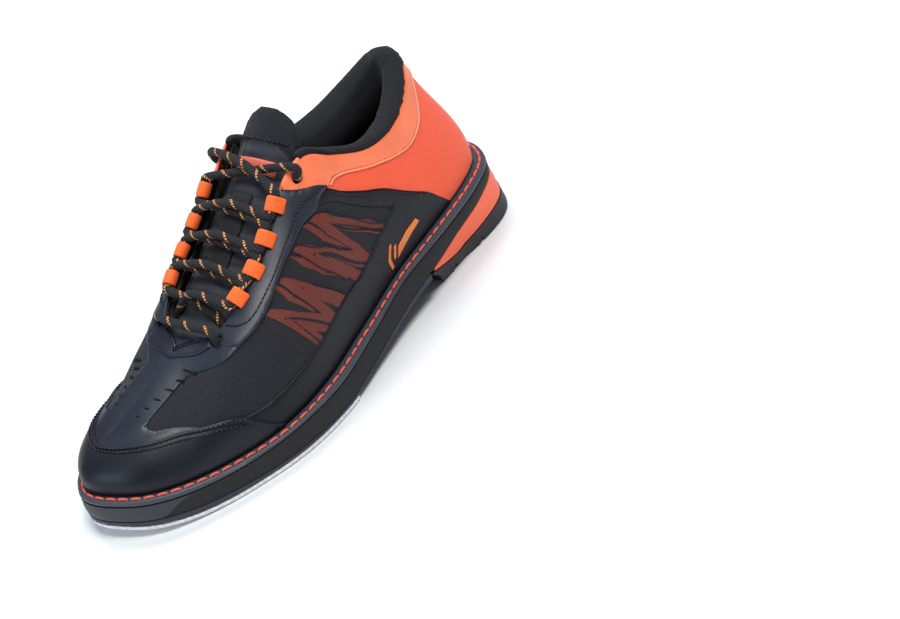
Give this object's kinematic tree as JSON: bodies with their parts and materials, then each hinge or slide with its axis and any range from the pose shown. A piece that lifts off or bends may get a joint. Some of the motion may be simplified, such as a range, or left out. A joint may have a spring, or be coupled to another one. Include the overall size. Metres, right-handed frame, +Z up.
{
  "type": "bowling shoe",
  "caption": "Low left bowling shoe with a padded collar and tongue, lace through webbing loops, mesh side windows, a stitched welt, a sliding forefoot pad and a notched heel",
  "frame": {"origin": "on the floor, under the middle of the shoe's bounding box in plan; z = 0 is the flat face of the slide pad and of the heel", "axes": "+X towards the toe, +Y towards the outer (little-toe) side, +Z up"},
  "size_m": [0.3026, 0.1074, 0.132],
  "materials": {
    "black_rubber": "matt",
    "grey_rubber": "matt",
    "orange_rubber": "satin",
    "white_microfibre": "brushed",
    "black_synthetic": "smooth satin",
    "black_textile": "woven",
    "charcoal_mesh": "ribbed mesh",
    "orange_synthetic": "smooth gloss",
    "coral_fabric": "fine weave",
    "red_print": "film",
    "orange_webbing": "woven webbing",
    "board": "fibre board",
    "clear_plastic": "clear"
  },
  "bodies": {
    "shoe": {"aglet_lateral": "clear_plastic", "aglet_medial": "clear_plastic", "collar_lining": "black_textile", "collar_overlay_lateral": "orange_synthetic", "collar_overlay_medial": "orange_synthetic", "eyestay_lateral": "black_synthetic", "eyestay_medial": "black_synthetic", "eyestay_seam_lateral": "black_textile", "eyestay_seam_medial": "black_textile", "heel_lining": "black_textile", "heel_outsole": "black_rubber", "heel_panel": "coral_fabric", "heel_tab": "black_textile", "heel_wedge": "orange_rubber", "insole_board": "board", "lace_loop_lateral_1": "orange_webbing", "lace_loop_lateral_2": "orange_webbing", "lace_loop_lateral_3": "orange_webbing", "lace_loop_lateral_4": "orange_webbing", "lace_loop_medial_1": "orange_webbing", "lace_loop_medial_2": "orange_webbing", "lace_loop_medial_3": "orange_webbing", "lace_loop_medial_4": "orange_webbing", "mesh_panel_lateral": "charcoal_mesh", "mesh_panel_medial": "charcoal_mesh", "midsole": "black_rubber", "outsole": "grey_rubber", "quarter_lining_lateral": "black_textile", "quarter_lining_medial": "black_textile", "shoelace": "black_textile", "side_badge": "orange_webbing", "side_overlay_lateral": "black_synthetic", "side_overlay_medial": "black_synthetic", "slide_pad": "white_microfibre", "throat_overlay": "black_synthetic", "toe_bumper": "grey_rubber", "toe_cap": "black_synthetic", "toe_cap_seam_1": "black_textile", "toe_cap_seam_2": "black_textile", "toe_puff": "board", "tongue": "black_textile", "tongue_keeper": "black_textile", "vamp": "black_synthetic", "vamp_lining": "black_textile", "welt": "grey_rubber", "welt_stitch": "orange_webbing", "zigzag_film_lateral": "red_print", "zigzag_film_medial": "red_print"},
    "tongue_tip": {"tongue_tip": "black_textile", "tongue_label": "orange_webbing"},
    "sockliner": {"sockliner": "black_textile"}
  },
  "joints": [
    {"name": "tongue_tip_fold", "type": "hinge", "parent": "shoe", "child": "tongue_tip", "pos_m": [-0.01102, -0.00539, 0.1089], "axis": [0, 1, 0], "range_deg": [-6, 35], "stiffness_Nm_per_rad": 0.05},
    {"name": "sockliner_lift", "type": "hinge", "parent": "shoe", "child": "sockliner", "pos_m": [0.13278, -0.01139, 0.02], "axis": [0, 1, 0], "range_deg": [0, 4]}
  ]
}
